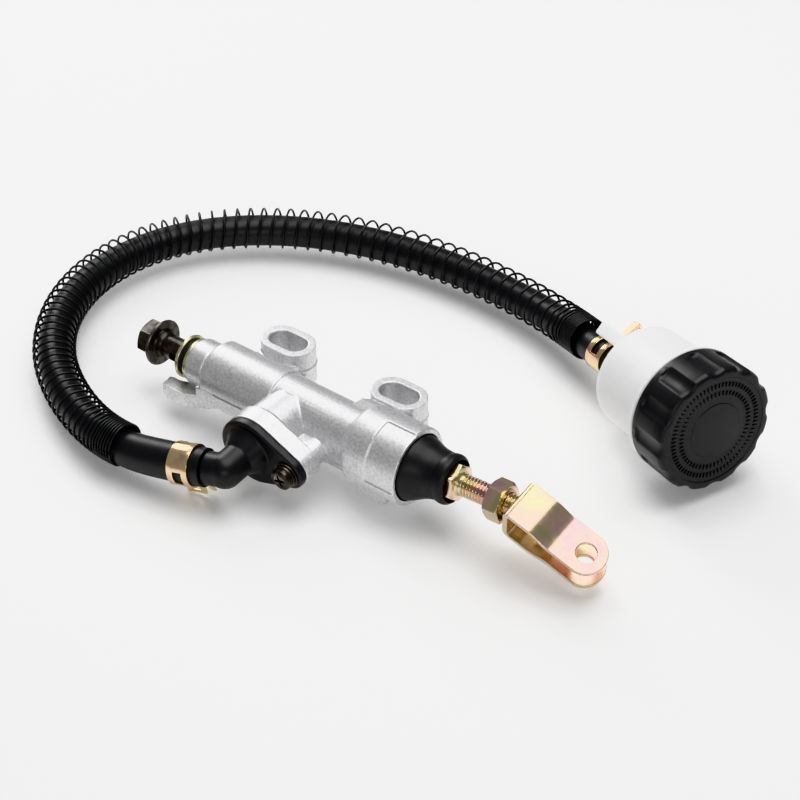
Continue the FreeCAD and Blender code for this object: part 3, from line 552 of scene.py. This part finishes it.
def washer(name, node, x, thickness, inner, outer, slot, edge):
    """A flat ring on the outlet bolt with its edges rounded."""
    profile = rounded_profile([(x + thickness / 2, inner), (x, inner), (x, outer),
                               (x + thickness, outer), (x + thickness, inner),
                               (x + thickness / 2, inner)], edge)
    verts, faces = lathe(profile[:-1], 96, closed=True)
    return piece(name, verts, faces, "cylinder", slot, (node,), 40)


washer("seal_washer_a", "sealing_washer_inner", END_X - 1.42, 1.4, 5.1, 8.1, "washer_zinc", 0.45)
washer("seal_washer_b", "sealing_washer_outer", END_X - 5.1, 1.4, 5.1, 8.1, "washer_zinc", 0.45)
# A black ring in the gap between the two sealing washers.
washer("black_gap_ring", "retainer_ring", END_X - 3.65, 1.7, 5.08, 7.2, "black_rubber", 0.5)


def boot_place(p):
    """Lets the boot lean with the rod, from nothing at the housing to all of it at the lip."""
    t = min(1.0, max(0.0, (p.x - BOOT_MOUTH_X) / BOOT_LEAN_LENGTH))
    return lifted(p, t * t * (3 - 2 * t))


def dust_boot():
    """Rubber cone in the housing's mouth, and the thick lip that grips the rod."""
    outside = [(49.0, 11.9), (50.2, 11.75), (52.2, 11.0), (54.8, 9.8), (57.2, 9.0), (59.6, 8.6),
               (60.2, 8.58)]
    inside = [(60.2, 7.5), (57.6, 7.6), (53.0, 9.5), (49.5, 10.4), (43.2, 9.5)]
    profile = [(BOOT_INNER_X, 9.6), (BOOT_INNER_X, 11.7), (39.4, 12.0), (41.0, 12.1),
               (47.8, 12.1)]
    profile += smooth_profile(outside) + smooth_profile(inside)
    verts, faces = lathe(profile, 96, closed=True, place=boot_place)
    cone = piece("dust_boot", verts, faces, "cylinder", "boot_rubber", ("boot",), 50)
    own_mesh(cone)
    lip = smooth_profile([(59.9, 8.5), (60.5, 8.56), (61.4, 8.8), (62.4, 8.95), (63.6, 8.8),
                          (64.4, 8.3), (64.8, 7.85), (64.4, 7.5), (63.0, 7.4), (59.9, 7.4)])
    verts, faces = lathe(lip, 96, closed=True, place=boot_place)
    piece("boot_lip", verts, faces, "pushrod", "boot_rubber", (), 50)


dust_boot()


def rod():
    """Ball-ended rod with a collar, a grip hexagon and a threaded tail."""
    ball = [(BALL_X - 4.8 * math.cos(math.radians(a)), 4.8 * math.sin(math.radians(a)))
            for a in range(4, 137, 6)]
    stem = ball + [(30.6, 3.2), (32.0, 3.6), (33.0, 3.88), (58.6, 3.88), (58.7, 6.6),
                   (59.1, 6.9), (60.0, 6.9), (60.4, 6.6), (60.45, 4.6), (67.0, 4.4),
                   (67.6, 3.9)]
    stem += thread_stations(68.4, 97.2, 3.96, THREAD_PITCH, 0.8)
    stem += [(97.3, 3.3), (97.6, 2.9)]
    parts = [lathe(stem, 72, place=lifted),
             lathe(hexagon_piece(12.0, 60.2, 67.0, 20, 0), 96, place=lifted)]
    verts, faces = joined(parts)
    return piece("push_rod", verts, faces, "pushrod", "yellow_zinc", ("pushrod",), 28)


rod()


def nut(name, node, across, x0, x1, turn, body):
    """A hexagon nut on the rod's thread."""
    verts, faces = lathe(hexagon_piece(across, x0, x1, turn, 3.95), 144, closed=True,
                         place=lifted)
    return piece(name, verts, faces, body, "yellow_zinc", (node,), 28)


nut("locking_nut", "lock_nut", 13.0, 79.5, 85.7, CLEVIS_ROLL + 30, "lock_nut")
nut("trapped_nut", "joint_nut", 10.0, 93.0, 96.6, CLEVIS_ROLL + 30, "joint_nut")


# ---------------------------------------------------------------- reservoir

def cap():
    """Screw cap with a scalloped grip, a broken rim and shallow rings on its face."""
    scallops = 12
    cutter, sink = 7.0, 1.0

    def grip(outer, fade=1.0):
        def radius(angle):
            step = 2 * math.pi / scallops
            off = (angle + step / 2) % step - step / 2
            reach = outer + cutter - sink * fade
            inside = cutter ** 2 - (reach * math.sin(off)) ** 2
            if inside <= 0 or fade <= 0:
                return outer
            return min(outer, reach * math.cos(off) - math.sqrt(inside))
        return radius
    r = CAP_RADIUS
    back = -CAP_LENGTH
    stations = [(back, r - 3.6), (back, r - 0.7), (back + 0.25, r - 0.35), (back + 0.6, r - 0.25),
                (back + 2.2, r - 0.25), (back + 2.5, grip(r - 0.25, 0.45)),
                (back + 3.0, grip(r - 0.25, 0.85)), (back + 3.8, grip(r - 0.2)),
                (-6.0, grip(r - 0.1)), (-2.2, grip(r)),
                (-1.5, grip(r - 0.12)), (-0.8, grip(r - 0.4)), (-0.3, grip(r - 0.8, 0.95)),
                (-0.05, grip(r - 1.4, 0.9)), (0.0, grip(r - 2.0, 0.8)), (0.0, 19.9), (-0.25, 19.6),
                (-0.3, 19.2), (-0.3, 10.4), (-0.28, 10.2), (-0.1, 10.0), (-0.08, 9.8),
                (-0.08, 0.6)]
    inner = BOTTLE_RADIUS + 0.7
    stations = [(-2.8, 0.6), (-2.8, inner), (back + 0.5, inner), (back, inner + 0.4)] + stations
    verts, faces = lathe(stations, 288, place=lambda p: RESERVOIR @ p)
    return piece("screw_cap", verts, faces, "cap", "cap_plastic", ("reservoir_cap",), 32)


cap()


def face_marks():
    """Two plain, even rings of raised ticks on the cap's face."""
    verts, faces = [], []
    width = math.radians(1.6)
    for inner, outer, count in ((16.4, 18.0, 72), (13.2, 14.8, 56)):
        for i in range(count):
            angle = 2 * math.pi * i / count
            base = len(verts)
            for x in (-0.12, 0.1):
                for r in (inner, outer):
                    for turn in (angle, angle + width):
                        verts.append(RESERVOIR @ Vector((x, r * math.cos(turn),
                                                         r * math.sin(turn))))
            for quad in ((0, 1, 3, 2), (4, 6, 7, 5), (0, 4, 5, 1), (2, 3, 7, 6), (0, 2, 6, 4),
                         (1, 5, 7, 3)):
                faces.append(tuple(base + k for k in quad))
    piece("cap_marks", verts, faces, "cap", "cap_plastic", (), 30)


face_marks()


# ---------------------------------------------------------------- hose and guard

def hose():
    """The hose as an open NURBS cord, and points along its middle."""
    curve = bpy.data.curves.new("feed_line", "CURVE")
    curve.dimensions = "3D"
    spline = curve.splines.new("NURBS")
    spline.points.add(len(HOSE_ROUTE) - 1)
    swell = [1.13, 1.15, 1.08] + [1.0] * (len(HOSE_ROUTE) - 3)
    for point, place, radius in zip(spline.points, HOSE_ROUTE, swell):
        point.co = (*row(place), 1.0)
        point.radius = radius
    spline.order_u = 3
    spline.use_endpoint_u = True
    spline.resolution_u = 16
    curve.resolution_u = 16
    bare = bpy.data.objects.new("bare", curve)
    bpy.context.scene.collection.objects.link(bare)
    graph = bpy.context.evaluated_depsgraph_get()
    line_mesh = bpy.data.meshes.new_from_object(bare.evaluated_get(graph), depsgraph=graph)
    line = [v.co.copy() for v in line_mesh.vertices]
    curve.bevel_depth = HOSE_RADIUS * MM
    curve.bevel_resolution = 10
    curve.use_fill_caps = True
    curve.materials.append(MATERIALS["hose_rubber"])
    bare.name = "feed_line"
    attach(bare, "cylinder")
    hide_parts("feed_hose")
    return bare, line


def helix_on(line, radius, wire, pitch_at, start, end, turns_per_step=28):
    """A wire coiled round a line from one share of its length to another."""
    lengths = [0.0]
    for a, b in zip(line, line[1:]):
        lengths.append(lengths[-1] + (b - a).length)
    total = lengths[-1]

    def at(s):
        s = min(max(s, 0.0), total * 0.99999)
        i = max(k for k in range(len(lengths)) if lengths[k] <= s)
        i = min(i, len(line) - 2)
        t = (s - lengths[i]) / (lengths[i + 1] - lengths[i])
        here = line[i].lerp(line[i + 1], t)
        before = line[max(i - 1, 0)]
        ahead = line[min(i + 2, len(line) - 1)]
        heading = (line[i + 1] - line[i]).normalized() * 0.5 + (ahead - before).normalized() * 0.5
        return here, heading.normalized()
    centre = []
    angle = 0.0
    s = start
    up = Vector((0, 0, 1))
    while s < end:
        here, heading = at(s)
        side = heading.cross(up).normalized()
        over = side.cross(heading).normalized()
        out = side * math.cos(angle) + over * math.sin(angle)
        centre.append(here + Vector((0, 0, GUARD_RISE * MM)) + out * radius)
        angle += 2 * math.pi / turns_per_step
        s += pitch_at((s - start) / (end - start)) / turns_per_step
    sides = 8
    verts, faces = [], []
    for i, p in enumerate(centre):
        ahead = centre[min(i + 1, len(centre) - 1)]
        before = centre[max(i - 1, 0)]
        heading = (ahead - before).normalized()
        side = heading.cross(up)
        side = side.normalized() if side.length > 1e-3 else Vector((1, 0, 0))
        over = side.cross(heading).normalized()
        for k in range(sides):
            turn = 2 * math.pi * k / sides
            verts.append(p + (side * math.cos(turn) + over * math.sin(turn)) * wire)
    for i in range(len(centre) - 1):
        for k in range(sides):
            a, b = i * sides + k, i * sides + (k + 1) % sides
            faces.append((a, b, b + sides, a + sides))
    faces.append(tuple(range(sides - 1, -1, -1)))
    last = (len(centre) - 1) * sides
    faces.append(tuple(range(last, last + sides)))
    return verts, faces


def guard(line):
    """The coiled wire guard: open coils between a few closed ones at each end."""
    total = sum((b - a).length for a, b in zip(line, line[1:]))

    def pitch(t):
        from_end = min(t, 1 - t)
        closed = 0.0012
        opened = 0.0041 + 0.0014 * min(1.0, max(0.0, (t - 0.35) / 0.3))
        blend = min(1.0, max(0.0, (from_end - 0.02) / 0.05))
        return closed + (opened - closed) * blend
    verts, faces = helix_on(line, GUARD_RADIUS * MM, GUARD_WIRE * MM, pitch, 0.0335, total - 0.0225)
    mesh = bpy.data.meshes.new("wire_guard")
    mesh.from_pydata(verts, [], faces)
    mesh.shade_smooth()
    mesh.materials.append(MATERIALS["guard_wire"])
    ob = bpy.data.objects.new("wire_guard", mesh)
    bpy.context.scene.collection.objects.link(ob)
    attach(ob, "cylinder")
    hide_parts("hose_guard")
    return ob


feed_line, hose_line = hose()
wire_guard = guard(hose_line)


# ---------------------------------------------------------------- pieces kept from the CAD

KEPT = {
    "piston": "anodised_aluminium", "primary_cup": "black_rubber",
    "secondary_cup": "black_rubber", "spring_seat": "spring_steel",
    "stop_plate": "spring_steel", "circlip": "spring_steel",
    "fitting_o_ring": "black_rubber", "diaphragm_plate": "white_plastic",
    "diaphragm": "black_rubber"}
for node, slot in KEPT.items():
    mesh = NODES[node].data
    mesh.materials.clear()
    mesh.materials.append(MATERIALS[slot])


def spring():
    """The return spring, copied from the CAD coil as a mesh of its own."""
    ob = scratch_copy("return_spring")
    mesh = evaluated_mesh(ob)
    made = finished("coil_spring", mesh, "cylinder", "spring_steel", ("return_spring",), 60)
    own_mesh(made)
    return made


spring()


# ---------------------------------------------------------------- stage, light and camera

def floor():
    """A white table under the part."""
    half = 3.0
    z = (TABLE_Z + ORIGIN.z) * MM
    mesh = bpy.data.meshes.new("floor")
    mesh.from_pydata([(-half, -half, z), (half, -half, z), (half, half, z), (-half, half, z)],
                     [], [(0, 1, 2, 3)])
    mat = bpy.data.materials.new("floor")
    mat.use_nodes = True
    shader = mat.node_tree.nodes["Principled BSDF"]
    shader.inputs["Base Color"].default_value = (0.96, 0.96, 0.96, 1.0)
    shader.inputs["Roughness"].default_value = 0.8
    shader.inputs["Emission Color"].default_value = (1.0, 1.0, 1.0, 1.0)
    shader.inputs["Emission Strength"].default_value = 0.1
    mesh.materials.append(mat)
    ob = bpy.data.objects.new("floor", mesh)
    bpy.context.scene.collection.objects.link(ob)


floor()


def area_light(name, place, target, size, power):
    """A rectangular lamp that faces a target."""
    light = bpy.data.lights.new(name, "AREA")
    light.shape = "RECTANGLE"
    light.size, light.size_y = size
    light.energy = power
    ob = bpy.data.objects.new(name, light)
    bpy.context.scene.collection.objects.link(ob)
    ob.location = Vector(place)
    ob.rotation_mode = "QUATERNION"
    ob.rotation_quaternion = (Vector(target) - ob.location).to_track_quat("-Z", "Y")


area_light("overhead", (0.05, 0.15, 0.95), (0, 0.03, 0), (0.9, 0.9), 7.0)
area_light("key", (-0.75, 0.35, 0.55), (0, 0.02, 0), (0.35, 0.6), 3.2)
area_light("side", (0.55, -0.75, 0.4), (0.02, 0.02, 0), (0.7, 0.25), 1.6)

world = bpy.data.worlds.new("studio")
world.use_nodes = True
world.node_tree.nodes["Background"].inputs["Color"].default_value = (1.0, 1.0, 1.0, 1.0)
world.node_tree.nodes["Background"].inputs["Strength"].default_value = 0.28
bpy.context.scene.world = world
bpy.context.scene.view_settings.view_transform = "Khronos PBR Neutral"


def camera():
    """The viewpoint: 37 degrees above the table, from beyond the clevis and the hose."""
    azimuth, elevation = math.radians(-51.73), math.radians(37.0)
    toward = Vector((math.cos(elevation) * math.cos(azimuth),
                     math.cos(elevation) * math.sin(azimuth), math.sin(elevation)))
    right = Vector((-math.sin(azimuth), math.cos(azimuth), 0))
    up = toward.cross(right)
    place = right * 32.86 + up * 4.13 + toward * 792.3
    data = bpy.data.cameras.new("camera")
    data.lens = 103.5
    data.sensor_width = 36.0
    ob = bpy.data.objects.new("camera", data)
    bpy.context.scene.collection.objects.link(ob)
    turn = Matrix((right, up, toward)).transposed()
    ob.matrix_world = Matrix.Translation(row(place)) @ turn.to_4x4()
    bpy.context.scene.camera = ob


camera()
